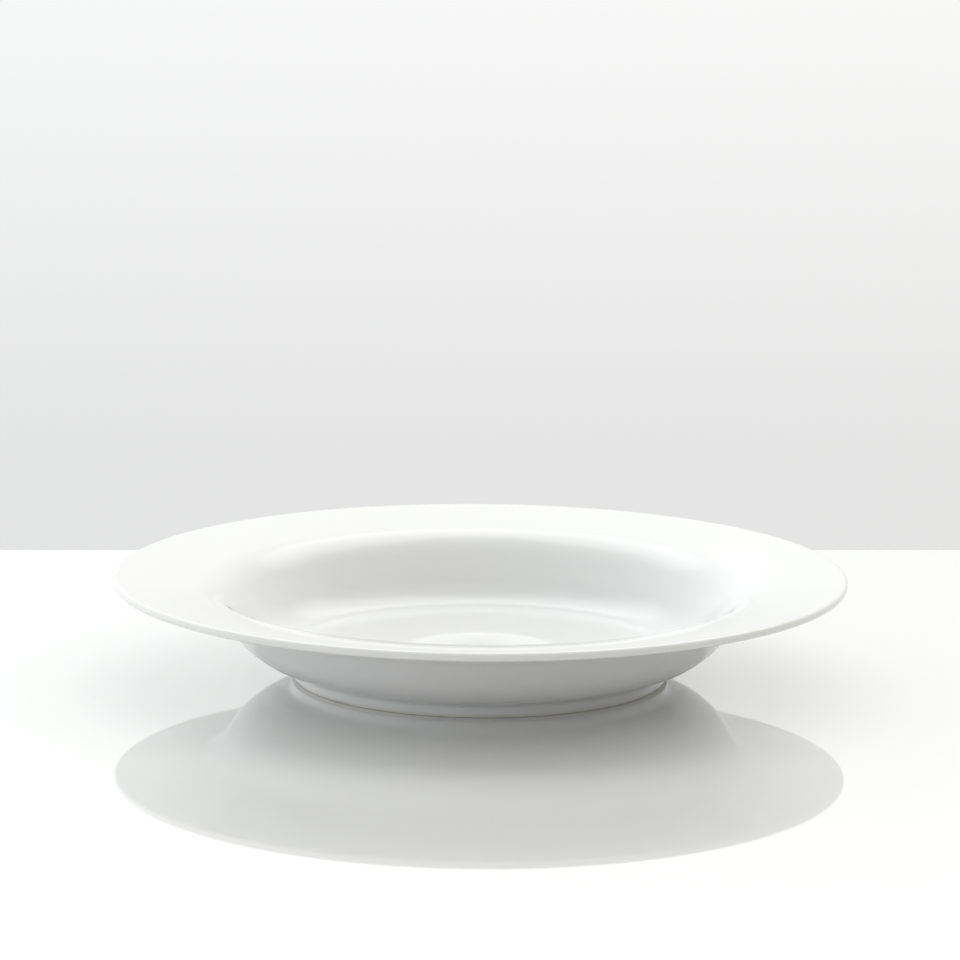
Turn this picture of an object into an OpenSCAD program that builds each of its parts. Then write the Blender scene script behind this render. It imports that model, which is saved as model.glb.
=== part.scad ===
// Rimmed soup plate in glazed porcelain.
// The plate is turned about +Z. The origin is the middle of the foot ring, on the surface it stands on.

/* [Plate] */
// Outside diameter of the plate
plate_d = 240; // [225:1:260]
// Height from the table to the top of the lip
plate_h = 34.2; // [31:0.1:38]

/* [Rim] */
// Diameter of the well at its top edge, before that edge is rounded
well_d = 171.4; // [160:0.2:180]
// Slope of the upper face of the rim next to the well, in degrees
rim_slope = 9.5; // [8:0.25:11]
// Slope of the upper face of the rim next to the lip, in degrees
lip_slope = 6; // [4:0.25:7]
// Share of the width of the rim that has the slope next to the lip
crown_share = 0.525; // [0.35:0.025:0.6]
// Radius of the gentle crown between the two slopes of the rim
crown_r = 280; // [100:10:280]
// Slope of the underside of the rim, in degrees
under_slope = 10.25; // [9:0.25:12]
// Thickness of the rim at the lip
lip_t = 2.7; // [2.2:0.1:3.6]
// Radius that rolls the rim over into the well
edge_r = 17; // [12:0.5:22]
// Radius of the hollow under the rim, where it meets the wall
under_r = 13; // [8:0.5:18]

/* [Well] */
// Distance from the foot ring out to the corner between the floor and the wall, before it is rounded
floor_margin = 10.1; // [8:0.1:12]
// Thickness of the wall
wall_t = 4; // [3.4:0.1:4.8]
// Radius of the hollow between the wall and the floor
floor_r = 16; // [10:0.5:18]
// Radius of the heel, where the outside of the wall turns in towards the foot ring
heel_r = 26; // [18:1:30]
// Slope of the outside between the heel and the foot ring, in degrees
heel_slope = 15.5; // [10:0.5:20]
// Thickness of the base under the floor of the well
base_t = 5.2; // [4.4:0.1:6]
// Diameter of the shallow dip in the middle of the floor
dip_d = 51; // [36:1:70]
// Diameter of the flat middle of the dip
dip_flat_d = 16; // [8:1:24]
// Depth of the dip
dip_depth = 0.4; // [0.2:0.05:0.8]

/* [Foot ring] */
// Outside diameter of the foot ring at the table, before its edges are rounded
foot_d = 122.4; // [112:0.2:132]
// Width of the foot ring at the table, before its edges are rounded
foot_w = 6; // [4.5:0.1:8]
// Height of the outer face of the foot ring
foot_h = 4.5; // [3.8:0.1:5.2]
// Lean of the outer face of the foot ring, in degrees from upright
foot_lean = 10; // [4:1:16]
// Radius on the two lower edges of the foot ring
foot_edge_r = 1; // [0.6:0.1:1.4]
// Radius of the hollow where the foot ring meets the wall
foot_root_r = 2.4; // [1:0.1:2.6]
// Depth of the recess inside the foot ring
recess_h = 3.9; // [3:0.1:4.4]
// Lean of the inner face of the foot ring, in degrees from upright
recess_lean = 25; // [10:1:35]
// Radius of the hollow round the recess
recess_r = 2.5; // [1:0.1:3]

/* [Glaze] */
// Thickness of the fired glaze
glaze_t = 0.3; // [0.2:0.05:0.45]
// Height of the foot ring that is wiped bare before firing
bare_h = 1.2; // [0.9:0.1:1.8]

/* [Hidden] */
$fn = 180;

// Most that the flat steps of a rounding may stand off the true curve
curve_error = 0.02;
// Straight stretches left between the two roundings of the lip, and between any other two roundings
lip_land = 0.2;
wall_land = 0.6;
// Steps from the edge of the dip to its flat middle
dip_steps = 5;

plate_r = plate_d / 2;
well_r = well_d / 2;
foot_r = foot_d / 2;
foot_inner_r = foot_r - foot_w;
floor_h = recess_h + base_t;

// Lip: two equal roundings fill its thickness, and their highest point is the height of the plate
lip_r = (lip_t - lip_land) / (tan((90 + lip_slope) / 2) + tan((90 - under_slope) / 2));
lip_h = plate_h + lip_r * (tan(lip_slope) + 1 / cos(lip_slope) - 1);

// Upper face of the rim: from the lip down to its crown, then more steeply to the edge of the well
crown_w = crown_share * (plate_r - well_r);
crown = [plate_r - crown_w, lip_h - crown_w * tan(lip_slope)];
edge = [well_r, crown.y - (crown.x - well_r) * tan(rim_slope)];
lip_run = norm([plate_r, lip_h] - crown);
rim_run = norm(crown - edge);

// Inside of the wall: straight from the edge of the well to the floor
floor_corner = [foot_r + floor_margin, floor_h];
wall_run = norm(edge - floor_corner);
wall_up = unit(edge - floor_corner);
wall_slope = atan2(wall_up.y, wall_up.x);

// Bends of the inside, in degrees, and the roundings that its straight runs have room for
crown_bend = rim_slope - lip_slope;
edge_bend = wall_slope - rim_slope;
wall_share = room_share(wall_run, reach(edge_r, edge_bend), reach(floor_r, wall_slope));
edge_fit_r = min(edge_r * wall_share, room_r(rim_run - wall_land, edge_bend));
floor_fit_r = floor_r * wall_share;
crown_room = min(lip_run - reach(lip_r, 90 + lip_slope), rim_run - reach(edge_fit_r, edge_bend));
crown_fit_r = min(crown_r, room_r(crown_room, crown_bend));

// Outside of the wall: parallel to the inside, up to the underside of the rim
outer_edge = edge - wall_t * left_of(wall_up);
under_h = lip_h - lip_t - (plate_r - outer_edge.x) * tan(under_slope);
under_climb = (under_h - outer_edge.y) / (wall_up.y - wall_up.x * tan(under_slope));
under_corner = outer_edge + under_climb * wall_up;
under_run = norm([plate_r, lip_h - lip_t] - under_corner);

// Heel: from the foot ring a gentle slope runs out to the wall
foot_root = [foot_r + foot_h * tan(foot_lean), foot_h];
heel_out = [cos(heel_slope), sin(heel_slope)];
heel_run = across(outer_edge - foot_root, wall_up) / across(heel_out, wall_up);
heel_corner = foot_root + heel_run * heel_out;
outer_run = norm(under_corner - heel_corner);

// Bends of the outside, in degrees, and the roundings that its straight runs have room for
under_bend = wall_slope - under_slope;
heel_bend = wall_slope - heel_slope;
foot_bend = 90 - foot_lean - heel_slope;
outer_share = room_share(outer_run, reach(under_r, under_bend), reach(heel_r, heel_bend));
under_fit_r = min(under_r * outer_share, room_r(under_run - reach(lip_r, 90 - under_slope), under_bend));
heel_fit_r = min(heel_r * outer_share, room_r(heel_run - reach(foot_root_r, foot_bend), heel_bend));

// Recess under the base, inside the foot ring
recess_corner_r = foot_inner_r - recess_h * tan(recess_lean);

// Half section of the plate: [radius, height, rounding] of each corner, anticlockwise from the axis
dip_flat_r = dip_flat_d / 2;
dip_slope_w = dip_d / 2 - dip_flat_r;
dip_corners = [for (step = [dip_steps:-1:0])
    let (share = step / dip_steps)
    [dip_flat_r + dip_slope_w * share, floor_h - dip_depth * (1 - share * share), 0]];
corners = concat([
    [0, recess_h, 0],
    [recess_corner_r, recess_h, recess_r],
    [foot_inner_r, 0, foot_edge_r],
    [foot_r, 0, foot_edge_r],
    [foot_root.x, foot_root.y, foot_root_r],
    [heel_corner.x, heel_corner.y, heel_fit_r],
    [under_corner.x, under_corner.y, under_fit_r],
    [plate_r, lip_h - lip_t, lip_r],
    [plate_r, lip_h, lip_r],
    [crown.x, crown.y, crown_fit_r],
    [edge.x, edge.y, edge_fit_r],
    [floor_corner.x, floor_corner.y, floor_fit_r]
], dip_corners, [[0, floor_h - dip_depth, 0]]);

// Numbers of the corners where the glaze stops, and of the two stretches without glaze
recess_corner = 1;
bearing_stretch = 2;
foot_root_corner = 4;
last_corner = len(corners) - 1;
axis_stretch = last_corner;

// Length that a rounding takes from each straight run beside it
function reach(r, bend) = r * tan(bend / 2);
// Largest rounding for the room left on a run
function room_r(room, bend) = (room - wall_land) / tan(bend / 2);
// Share of the roundings at the two ends of a run that it has room for: 1 where both fit whole
function room_share(run, reach1, reach2) = min(1, (run - wall_land) / (reach1 + reach2));

function unit(v) = v / norm(v);
function left_of(v) = [-v.y, v.x];
function across(a, b) = a.x * b.y - a.y * b.x;
function backwards(list) = [for (i = [len(list) - 1:-1:0]) list[i]];
function place(corner) = [corner.x, corner.y];
function before(i) = i == 0 ? last_corner : i - 1;
function after(i) = i == last_corner ? 0 : i + 1;
function heading_in(list, i) = unit(place(list[i]) - place(list[before(i)]));
function heading_out(list, i) = unit(place(list[after(i)]) - place(list[i]));
function turn(list, i) =
    let (arriving = heading_in(list, i), leaving = heading_out(list, i))
    atan2(across(arriving, leaving), arriving * leaving);

// The section with each glazed stretch moved in by one depth, and the roundings kept concentric
function moved(i, depth) = i == bearing_stretch || i == axis_stretch ? 0 : depth;
function moved_corner(i, depth) =
    let (
        arriving = heading_in(corners, i),
        leaving = heading_out(corners, i),
        start = place(corners[i]) + left_of(arriving) * moved(before(i), depth),
        end = place(corners[i]) + left_of(leaving) * moved(i, depth)
    )
    start + arriving * across(end - start, leaving) / across(arriving, leaving);
function moved_rounding(i, depth) =
    corners[i].z == 0 ? 0 : corners[i].z - sign(turn(corners, i)) * depth;
function section(depth) =
    [for (i = [0:last_corner]) [each moved_corner(i, depth), moved_rounding(i, depth)]];

// Points of a corner: itself, or its rounding in steps small enough for the named error
function curve_steps(i) =
    max(3, ceil(abs(turn(corners, i)) / (2 * acos(1 - curve_error / corners[i].z))));
function corner_points(list, i) =
    list[i].z == 0 ? [place(list[i])] :
    let (
        bend = turn(list, i),
        arriving = heading_in(list, i),
        start = place(list[i]) - arriving * list[i].z * tan(abs(bend) / 2),
        centre = start + left_of(arriving) * sign(bend) * list[i].z,
        from = atan2(start.y - centre.y, start.x - centre.x),
        steps = curve_steps(i)
    )
    [for (k = [0:steps]) centre + list[i].z * [cos(from + bend * k / steps), sin(from + bend * k / steps)]];
function outline(depth, first, last) =
    let (list = section(depth))
    [for (i = [first:last]) each corner_points(list, i)];

// Points on the two faces of the foot ring, at one height and one depth under the glaze
function foot_face(h, depth) = [foot_r + h * tan(foot_lean) - depth / cos(foot_lean), h];
function recess_face(h, depth) = [foot_inner_r - h * tan(recess_lean) + depth / cos(recess_lean), h];

// Fired clay: rim, wall, floor and foot ring in one piece
module porcelain_body() {
    color("ivory")
        rotate_extrude()
            polygon(outline(glaze_t, 0, last_corner));
}

// Glaze over the well, rim and lip, and down the outside of the foot ring to its bare part
module glaze_coat() {
    color("white")
        rotate_extrude()
            polygon(concat(
                [foot_face(bare_h, 0)],
                outline(0, foot_root_corner, last_corner),
                backwards(outline(glaze_t, foot_root_corner, last_corner)),
                [foot_face(bare_h, glaze_t)]
            ));
}

// Glaze over the recess inside the foot ring
module base_glaze() {
    color("whitesmoke")
        rotate_extrude()
            polygon(concat(
                outline(0, 0, recess_corner),
                [recess_face(bare_h, 0), recess_face(bare_h, glaze_t)],
                backwards(outline(glaze_t, 0, recess_corner))
            ));
}

porcelain_body();
glaze_coat();
base_glaze();
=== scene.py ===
import math

import bpy
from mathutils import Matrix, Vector


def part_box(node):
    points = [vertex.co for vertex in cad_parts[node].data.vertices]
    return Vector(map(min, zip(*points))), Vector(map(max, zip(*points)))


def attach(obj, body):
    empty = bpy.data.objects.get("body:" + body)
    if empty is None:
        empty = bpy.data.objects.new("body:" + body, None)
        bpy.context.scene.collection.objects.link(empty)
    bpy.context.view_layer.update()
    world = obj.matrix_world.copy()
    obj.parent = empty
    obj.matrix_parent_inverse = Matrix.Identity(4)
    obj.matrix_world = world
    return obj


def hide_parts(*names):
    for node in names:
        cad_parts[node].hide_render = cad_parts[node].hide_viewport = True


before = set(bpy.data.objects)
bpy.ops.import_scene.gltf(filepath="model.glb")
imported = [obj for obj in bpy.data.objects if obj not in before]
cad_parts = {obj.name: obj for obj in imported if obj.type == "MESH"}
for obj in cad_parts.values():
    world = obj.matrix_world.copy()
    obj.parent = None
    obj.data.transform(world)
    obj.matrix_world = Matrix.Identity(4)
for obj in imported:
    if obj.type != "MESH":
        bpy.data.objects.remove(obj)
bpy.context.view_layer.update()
scene = bpy.context.scene
scene.view_settings.view_transform = "Standard"

# sizes in metres, angles in degrees; the glazed outside of the plate
coatLow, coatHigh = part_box("glaze_coat")
plate = {
    "radius": max(coatHigh.x, coatHigh.y),
    "height": coatHigh.z,
    "wellRadius": 0.0857,           # top edge of the well, before rounding
    "rimSlope": 9.5,                # next to the well
    "lipSlope": 6.0,                # next to the lip
    "crownShare": 0.525,            # share of the rim's width with that slope
    "crownRounding": 0.28,
    "underSlope": 10.25,
    "lipThickness": 0.0027,
    "edgeRounding": 0.017,          # rim into well
    "underRounding": 0.013,         # under the rim
    "floorMargin": 0.0101,          # from the foot ring out to the corner of floor and wall
    "wallThickness": 0.004,
    "floorRounding": 0.016,         # wall into floor
    "heelRounding": 0.026,          # outside of the wall into the shoulder over the foot
    "heelSlope": 15.5,
    "baseThickness": 0.0052,
    "dipRadius": 0.0255,
    "dipFlat": 0.008,               # radius of its flat middle
    "dipDepth": 0.0004,
    "footRadius": 0.0612,
    "footWidth": 0.006,
    "footHeight": 0.0045,
    "footLean": 10.0,
    "footEdge": 0.001,
    "footRoot": 0.0024,             # hollow between foot and wall
    "recessHeight": 0.0039,
    "recessLean": 25.0,
    "recessRounding": 0.0025,
    "glazeThickness": 0.0003,
    "bareHeight": 0.0012,           # foot wiped clean of glaze below this
    "lipLand": 0.0002,              # left upright between the two roundings of the lip
}
drawing = {
    "turnSteps": 180,               # steps round the axis
    "arcStep": 3.0,                 # degrees in one step of a rounding
    "bowlStep": 1.5,                # the same on the long curves of rim and wall
    "bowlRounding": 0.012,          # a rounding over this is a long curve
    "lineStep": 0.0025,
    "dipSteps": 12,
    "weld": 1e-6,                   # points closer than this become one
    "crease": 40.0,                 # edges sharper than this stay sharp
}


def tan(angle):
    return math.tan(math.radians(angle))


def along(angle):
    return Vector((math.cos(math.radians(angle)), math.sin(math.radians(angle))))


def leftOf(v):
    return Vector((-v.y, v.x))


def across(a, b):
    return a.x * b.y - a.y * b.x


def plateCorners(p):
    # half section, anticlockwise from the axis under the base: (radius, height), rounding
    floorHeight = p["recessHeight"] + p["baseThickness"]
    lipSpan = tan((90 + p["lipSlope"]) / 2) + tan((90 - p["underSlope"]) / 2)
    lipRounding = (p["lipThickness"] - p["lipLand"]) / lipSpan
    lipHeight = p["height"] + lipRounding * (tan(p["lipSlope"]) + 1 / along(p["lipSlope"]).x - 1)
    lipTop = Vector((p["radius"], lipHeight))
    lipBottom = Vector((p["radius"], lipHeight - p["lipThickness"]))

    # the rim is a little steeper next to the well
    rimWidth = p["radius"] - p["wellRadius"]
    crown = lipTop - p["crownShare"] * rimWidth * Vector((1, tan(p["lipSlope"])))
    edge = crown - (crown.x - p["wellRadius"]) * Vector((1, tan(p["rimSlope"])))

    # the wall: straight and parallel inside and out
    floor = Vector((p["footRadius"] + p["floorMargin"], floorHeight))
    wallUp = (edge - floor).normalized()
    outside = edge - leftOf(wallUp) * p["wallThickness"]
    rimUnder = along(p["underSlope"])
    under = outside + wallUp * across(lipBottom - outside, rimUnder) / across(wallUp, rimUnder)

    # a gentle shoulder from the foot ring out to the heel of the wall
    root = Vector((p["footRadius"] + p["footHeight"] * tan(p["footLean"]), p["footHeight"]))
    heelOut = along(p["heelSlope"])
    heel = root + heelOut * across(outside - root, wallUp) / across(heelOut, wallUp)

    footInner = p["footRadius"] - p["footWidth"]
    recess = footInner - p["recessHeight"] * tan(p["recessLean"])
    corners = [
        ((0, p["recessHeight"]), 0),
        ((recess, p["recessHeight"]), p["recessRounding"]),
        ((footInner, 0), p["footEdge"]),
        ((p["footRadius"], 0), p["footEdge"]),
        (root, p["footRoot"]),
        (heel, p["heelRounding"]),
        (under, p["underRounding"]),
        (lipBottom, lipRounding),
        (lipTop, lipRounding),
        (crown, p["crownRounding"]),
        (edge, p["edgeRounding"]),
        (floor, p["floorRounding"]),
    ]
    for step in range(drawing["dipSteps"], -1, -1):
        share = step / drawing["dipSteps"]
        radius = p["dipFlat"] + (p["dipRadius"] - p["dipFlat"]) * share
        corners.append(((radius, floorHeight - p["dipDepth"] * (1 - share * share)), 0))
    corners.append(((0, floorHeight - p["dipDepth"]), 0))
    return [(Vector(place), rounding) for place, rounding in corners]


corners = plateCorners(plate)
recessCorner, bearingCorner, footRootCorner, floorCorner = 1, 2, 4, 11   # places in the list
print("section:", len(corners), "corners, floor at", round(corners[floorCorner][0].y * 1000, 2), "mm")


def insetCorners(depth):
    # the clay under the glaze: every stretch moved in, apart from the bearing face and the axis
    moved = []
    last = len(corners) - 1
    for i, (place, rounding) in enumerate(corners):
        arriving = (place - corners[i - 1][0]).normalized()
        leaving = (corners[0 if i == last else i + 1][0] - place).normalized()
        before = 0 if i - 1 == bearingCorner or i == 0 else depth
        behind = 0 if i == bearingCorner or i == last else depth
        start = place + leftOf(arriving) * before
        end = place + leftOf(leaving) * behind
        turn = across(arriving, leaving)
        meet = start + arriving * across(end - start, leaving) / turn
        moved.append((meet, rounding - math.copysign(depth, turn) if rounding else 0))
    return moved


def startOutline(name, place):
    bpy.ops.object.select_all(action="DESELECT")
    bpy.ops.mesh.primitive_plane_add(location=(0, 0, 0))
    piece = bpy.context.object
    piece.name = name
    piece.data.name = name
    bpy.ops.object.mode_set(mode="EDIT")
    bpy.ops.mesh.select_all(action="SELECT")
    bpy.ops.mesh.merge(type="CENTER")
    bpy.ops.transform.translate(value=(place.x, 0, place.y))
    return piece


def lineTo(start, end):
    steps = max(1, math.ceil((end - start).length / drawing["lineStep"]))
    step = (end - start) / steps
    for _ in range(steps):
        bpy.ops.mesh.extrude_region_move(TRANSFORM_OT_translate={"value": (step.x, 0, step.y)})


def drawOutline(name, path):
    # one vertex pulled along the section: straight runs are extruded, roundings are spun
    piece = startOutline(name, path[0][0])
    pen = path[0][0]
    for i in range(1, len(path)):
        place, rounding = path[i]
        if not rounding:
            lineTo(pen, place)
            pen = place
            continue
        arriving = (place - path[i - 1][0]).normalized()
        leaving = (path[i + 1][0] - place).normalized()
        turn = math.atan2(across(arriving, leaving), arriving.dot(leaving))
        reach = rounding * math.tan(abs(turn) / 2)
        lineTo(pen, place - arriving * reach)
        middle = place - arriving * reach + leftOf(arriving) * math.copysign(rounding, turn)
        step = drawing["bowlStep"] if rounding > drawing["bowlRounding"] else drawing["arcStep"]
        bpy.ops.mesh.spin(steps=math.ceil(math.degrees(abs(turn)) / step), angle=turn,
                          center=(middle.x, 0, middle.y), axis=(0, 1, 0))
        pen = place + leaving * reach
    return piece


def turnOutline():
    # the outline goes once round the axis; the seam and the poles are closed
    bpy.ops.mesh.select_all(action="SELECT")
    bpy.ops.mesh.spin(steps=drawing["turnSteps"], angle=math.tau, center=(0, 0, 0), axis=(0, 0, 1))
    bpy.ops.mesh.select_all(action="SELECT")
    bpy.ops.mesh.remove_doubles(threshold=drawing["weld"])
    bpy.ops.mesh.normals_make_consistent(inside=False)
    bpy.ops.object.mode_set(mode="OBJECT")


def faceOutwards(piece, looksDown):
    # an open skin: its faces in the middle look up from the floor or down from the base
    pole = min(piece.data.polygons, key=lambda f: f.center.xy.length)
    if (pole.normal.z < 0) != looksDown:
        bpy.ops.object.mode_set(mode="EDIT")
        bpy.ops.mesh.select_all(action="SELECT")
        bpy.ops.mesh.flip_normals()
        bpy.ops.object.mode_set(mode="OBJECT")


def thickenGlaze(piece):
    wall = piece.modifiers.new("glaze", "SOLIDIFY")
    wall.thickness = plate["glazeThickness"]
    wall.offset = -1
    wall.use_even_offset = True
    bpy.ops.object.modifier_apply(modifier=wall.name)


def finishPiece(piece, node, material):
    bpy.ops.object.shade_smooth_by_angle(angle=math.radians(drawing["crease"]))
    piece.data.materials.append(material)
    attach(piece, "root")
    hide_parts(node)
    triangles = sum(len(f.vertices) - 2 for f in piece.data.polygons)
    print(piece.name, "has", triangles, "triangles")


class Wire:
    # a shader socket that takes part in Python sums
    def __init__(self, tree, socket=None):
        self.tree = tree
        self.socket = socket

    def add(self, kind, settings=None, inputs=None, output=0):
        node = self.tree.nodes.new(kind)
        for name, value in (settings or {}).items():
            setattr(node, name, value)
        for name, value in (inputs or {}).items():
            if isinstance(value, Wire):
                self.tree.links.new(value.socket, node.inputs[name])
            else:
                node.inputs[name].default_value = value
        return Wire(self.tree, node.outputs[output] if len(node.outputs) else None)

    def out(self, name):
        return Wire(self.tree, self.socket.node.outputs[name])

    def math(self, operation, a, b=0.0):
        return self.add("ShaderNodeMath", {"operation": operation}, {0: a, 1: b})

    def __add__(self, other):
        return self.math("ADD", self, other)

    __radd__ = __add__

    def __mul__(self, other):
        return self.math("MULTIPLY", self, other)

    __rmul__ = __mul__

    def __sub__(self, other):
        return self.math("SUBTRACT", self, other)

    def __rsub__(self, other):
        return self.math("SUBTRACT", other, self)

    def __truediv__(self, other):
        return self.math("DIVIDE", self, other)

    def __pow__(self, other):
        return self.math("POWER", self, other)


def newMaterial(name):
    material = bpy.data.materials.new(name)
    material.use_nodes = True
    tree = material.node_tree
    tree.nodes.clear()
    return material, Wire(tree)


def noise(wires, place, scale, detail=2.0):
    return wires.add("ShaderNodeTexNoise", None, {"Vector": place, "Scale": scale, "Detail": detail})


def blendColours(wires, share, low, high):
    # on colours, the Mix node's sockets are these numbers
    return wires.add("ShaderNodeMix", {"data_type": "RGBA"}, {0: share, 6: low, 7: high}, output=2)


def ease(wires, value, low, high):
    return wires.add("ShaderNodeMapRange", {"interpolation_type": "SMOOTHSTEP"},
                     {"Value": value, "From Min": low, "From Max": high})


def cover(wires, inputs):
    shader = wires.add("ShaderNodeBsdfPrincipled", None, inputs)
    wires.add("ShaderNodeOutputMaterial", None, {"Surface": shader})


# patterns are in waves per metre, roughly
glaze = {
    "white": (0.87, 0.87, 0.862, 1),
    "pooled": (0.83, 0.842, 0.84, 1),       # thick glaze, a little cooler
    "poolStart": (-0.03, -0.008),           # where it gets thick, from the corner of the floor
    "poolEnd": (-0.006, 0.006),             # where it gets thin again
    "poolShare": 0.5,
    "cloud": 18.0,
    "cloudShare": 0.25,
    "thin": (0.885, 0.877, 0.858, 1),       # over the lip
    "thinWidth": 0.0016,
    "thinShare": 0.8,
    "roughness": 0.05,
    "roughShare": (0.8, 0.4),               # the least of it, and what the pattern adds
    "roughPattern": 90.0,
    "ripple": 55.0,
    "peel": 420.0,
    "peelShare": 0.05,
    "bumpDepth": 0.00002,
    "ior": 1.5,
}


def glazeMaterial():
    material, wires = newMaterial("white glaze")
    place = wires.add("ShaderNodeTexCoord", output="Object")
    parts = wires.add("ShaderNodeSeparateXYZ", None, {0: place})
    x, y = parts.out("X"), parts.out("Y")
    radius = (x * x + y * y) ** 0.5

    cloud = noise(wires, place, glaze["cloud"])
    floorEdge = corners[floorCorner][0].x
    pooled = ease(wires, radius, *(floorEdge + d for d in glaze["poolStart"]))
    pooled = pooled * (1 - ease(wires, radius, *(floorEdge + d for d in glaze["poolEnd"])))
    thin = ease(wires, radius, plate["radius"] - glaze["thinWidth"], plate["radius"])
    share = pooled * glaze["poolShare"] + cloud * glaze["cloudShare"]
    colour = blendColours(wires, share, glaze["white"], glaze["pooled"])
    colour = blendColours(wires, thin * glaze["thinShare"], colour, glaze["thin"])

    least, added = glaze["roughShare"]
    roughness = glaze["roughness"] * (least + added * noise(wires, place, glaze["roughPattern"]))
    swell = noise(wires, place, glaze["ripple"], detail=1.0)
    peel = noise(wires, place, glaze["peel"], detail=1.0)
    height = swell + peel * glaze["peelShare"]
    bump = wires.add("ShaderNodeBump", None,
                     {"Strength": 1.0, "Distance": glaze["bumpDepth"], "Height": height})
    cover(wires, {"Base Color": colour, "Roughness": roughness, "IOR": glaze["ior"], "Normal": bump})
    return material


clay = {
    "dry": (0.80, 0.78, 0.73, 1),
    "rubbed": (0.66, 0.64, 0.60, 1),        # grey marks from standing on tables
    "rubPattern": 60.0,
    "rubEdge": (0.5, 0.72),                 # of the pattern: where a mark begins and where it is full
    "rubShare": 0.6,
    "rubPolish": 0.12,                      # taken off the roughness
    "roughness": 0.78,
    "grain": 2600.0,
    "grainShare": 0.2,
    "grainRough": 0.1,                      # added to the roughness
    "bumpStrength": 0.5,
    "bumpDepth": 0.00005,
    "ior": 1.5,
}


def clayMaterial():
    material, wires = newMaterial("bare porcelain")
    place = wires.add("ShaderNodeTexCoord", output="Object")
    grain = noise(wires, place, clay["grain"], detail=3.0)
    rubbed = ease(wires, noise(wires, place, clay["rubPattern"], detail=4.0), *clay["rubEdge"])
    share = rubbed * clay["rubShare"] + grain * clay["grainShare"]
    colour = blendColours(wires, share, clay["dry"], clay["rubbed"])
    roughness = clay["roughness"] - clay["rubPolish"] * rubbed + clay["grainRough"] * grain
    bump = wires.add("ShaderNodeBump", None, {
        "Strength": clay["bumpStrength"], "Distance": clay["bumpDepth"], "Height": grain})
    cover(wires, {"Base Color": colour, "Roughness": roughness, "IOR": clay["ior"], "Normal": bump})
    return material


def footFace(height):
    return Vector((plate["footRadius"] + height * tan(plate["footLean"]), height))


def recessFace(height):
    return Vector((plate["footRadius"] - plate["footWidth"] - height * tan(plate["recessLean"]), height))


whiteGlaze = glazeMaterial()
bareClay = clayMaterial()


def makeSkin(name, path, looksDown, node):
    skin = drawOutline(name, path)
    turnOutline()
    faceOutwards(skin, looksDown)
    thickenGlaze(skin)
    finishPiece(skin, node, whiteGlaze)


body = drawOutline("fired_body", insetCorners(plate["glazeThickness"]))
turnOutline()
finishPiece(body, "porcelain_body", bareClay)

# the glaze stops above the bearing face, on both sides of the foot ring
outerStop = (footFace(plate["bareHeight"]), 0)
innerStop = (recessFace(plate["bareHeight"]), 0)
makeSkin("glaze_skin", [outerStop] + corners[footRootCorner:], False, "glaze_coat")
makeSkin("base_glaze_skin", corners[:recessCorner + 1] + [innerStop], True, "base_glaze")

# stage: a pale polished table top with its back edge just behind the plate
table = {
    "backEdge": 0.206,
    "front": -2.2,
    "halfWidth": 2.2,
    "thickness": 0.03,
    "turn": -2.2,                   # about Z, so that the back edge is level in the view
    "colour": (0.90, 0.90, 0.896, 1),
    "roughness": 0.02,
    "ior": 1.6,
    "mirror": 0.35,
}


def makeTable():
    bpy.ops.object.select_all(action="DESELECT")
    bpy.ops.mesh.primitive_plane_add(size=1.0, location=(0, 0, 0))
    top = bpy.context.object
    top.name = "table_top"
    bpy.ops.object.mode_set(mode="EDIT")
    bpy.ops.mesh.select_all(action="SELECT")
    bpy.ops.transform.resize(value=(2 * table["halfWidth"], table["backEdge"] - table["front"], 1))
    bpy.ops.transform.translate(value=(0, (table["backEdge"] + table["front"]) / 2, 0))
    bpy.ops.transform.rotate(value=math.radians(table["turn"]), orient_axis="Z", center_override=(0, 0, 0))
    bpy.ops.mesh.extrude_region_move(TRANSFORM_OT_translate={"value": (0, 0, -table["thickness"])})
    bpy.ops.mesh.select_all(action="SELECT")
    bpy.ops.mesh.normals_make_consistent(inside=False)
    bpy.ops.object.mode_set(mode="OBJECT")

    material, wires = newMaterial("pale table")
    cover(wires, {"Base Color": table["colour"], "Roughness": table["roughness"], "IOR": table["ior"],
                  "Metallic": table["mirror"]})
    top.data.materials.append(material)


makeTable()

# light: a soft sky with a broad soft box high behind the plate and a low window on the left
light = {
    "even": 0.60,
    "behind": 1.35,                 # grows upwards behind the plate
    "behindLow": 0.12,              # share of it at the level of the table
    "right": 0.36,                  # a little more high on the right than on the left
    "window": 2.1,                  # low on the left
    "windowFade": 2.0,              # how fast it fades upwards
    "windowShine": 0.4,             # share of it that shows in reflections
    "front": 0.5,                   # taken off low in front
    "over": 0.32,                   # added high in front
    "cool": (0.965, 0.992, 1.0, 1),
    "warm": (1.0, 0.992, 0.965, 1),
    "tint": (-0.9, 0.9),            # cool on the left, warm on the right
    "backdropTop": 0.95,            # what shows behind the table, down to the table
    "backdropLow": 0.79,
    "backdropSpan": (-0.182, -0.1),     # where it has those two levels, low one first
    "backdropBlend": 0.08,          # how far it blends into the sky
    "softBox": {"level": 1.15, "low": (31.0, 42.0), "high": (70.0, 76.0), "side": (0.25, 0.75)},
}


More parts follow.
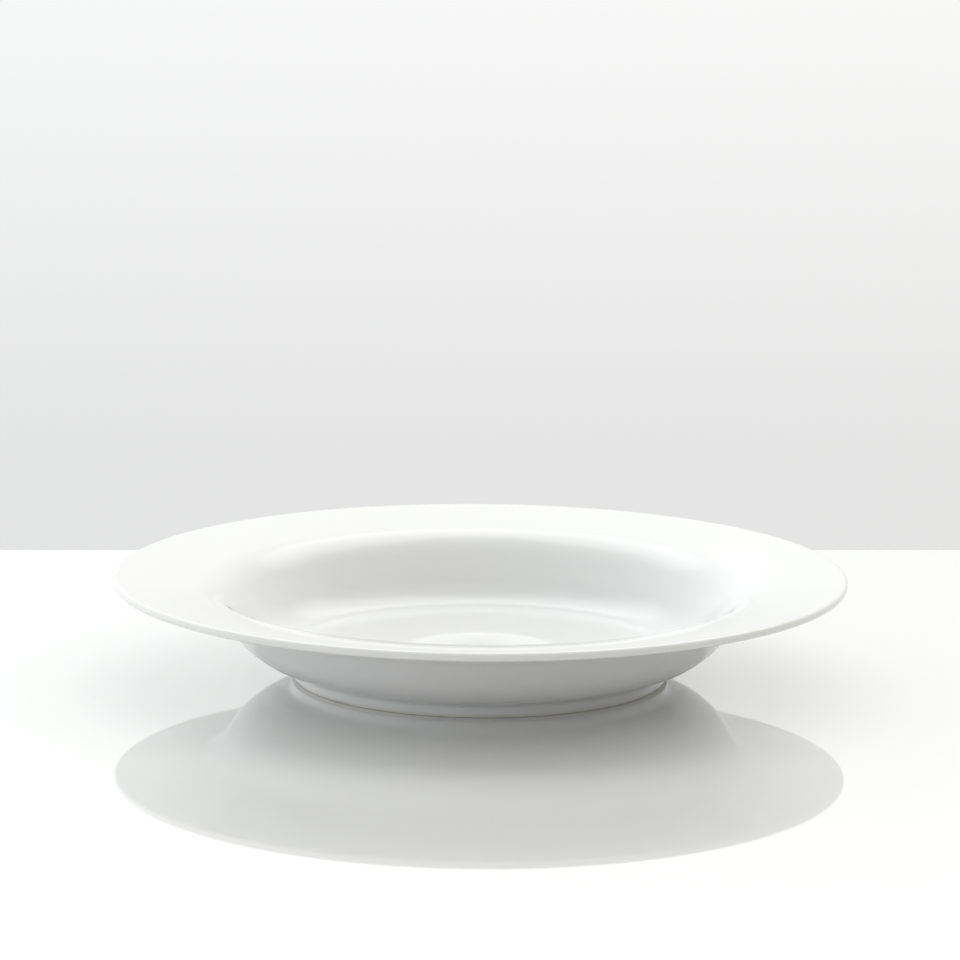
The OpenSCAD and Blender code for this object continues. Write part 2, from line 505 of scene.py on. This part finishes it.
def makeRoom():
    world = bpy.data.worlds.new("room")
    world.use_nodes = True
    world.node_tree.nodes.clear()
    wires = Wire(world.node_tree)
    way = wires.add("ShaderNodeSeparateXYZ", None, {0: wires.add("ShaderNodeTexCoord", output="Generated")})
    x, y, z = way.out("X"), way.out("Y"), way.out("Z")
    up = wires.math("MAXIMUM", z, 0.0)
    behind = wires.math("MAXIMUM", y, 0.0)
    front = wires.math("MAXIMUM", 0.0 - y, 0.0)
    left = wires.math("MAXIMUM", 0.0 - x, 0.0)
    sky = light["even"] + light["behind"] * behind * (up + light["behindLow"]) + light["right"] * x * up
    shine = wires.add("ShaderNodeLightPath").out("Is Glossy Ray")
    window = light["window"] * (1 - (1 - light["windowShine"]) * shine)
    sky = sky + window * left * (1 - up) ** light["windowFade"]
    sky = sky + light["over"] * front * up - light["front"] * front * (1 - up)

    # the soft box: a band of heights that fades towards both sides
    box = light["softBox"]
    band = ease(wires, z, along(box["low"][0]).y, along(box["low"][1]).y)
    band = band * (1 - ease(wires, z, along(box["high"][0]).y, along(box["high"][1]).y))
    sky = sky + box["level"] * band * ease(wires, y / (1 - z * z) ** 0.5, *box["side"])

    # below the table's level: a plain backdrop that darkens a little downwards
    bottom, top = light["backdropSpan"]
    backdrop = wires.add("ShaderNodeMapRange", None, {
        "Value": z, "From Min": bottom, "From Max": top,
        "To Min": light["backdropLow"], "To Max": light["backdropTop"]})
    below = ease(wires, 0.0 - z, 0.0, light["backdropBlend"])
    level = sky * (1 - below) + backdrop * below
    colour = blendColours(wires, ease(wires, x, *light["tint"]), light["cool"], light["warm"])
    colour = wires.add("ShaderNodeVectorMath", {"operation": "SCALE"}, {0: colour, "Scale": level})
    shade = wires.add("ShaderNodeBackground", None, {"Color": colour, "Strength": 1.0})
    wires.add("ShaderNodeOutputWorld", None, {"Surface": shade})
    scene.world = world


makeRoom()
print("stage and light ready")

view = {
    "lens": 204.87,
    "sensor": 36.0,
    "place": (-0.00044, -1.750, 0.3992),
    "tilt": 79.2,
    "roll": 0.45,                   # about the line of sight
}
bpy.ops.object.camera_add(location=view["place"])
camera = bpy.context.object
camera.rotation_mode = "ZYX"
camera.rotation_euler = (math.radians(view["tilt"]), 0, math.radians(view["roll"]))
camera.data.lens = view["lens"]
camera.data.sensor_width = view["sensor"]
scene.camera = camera
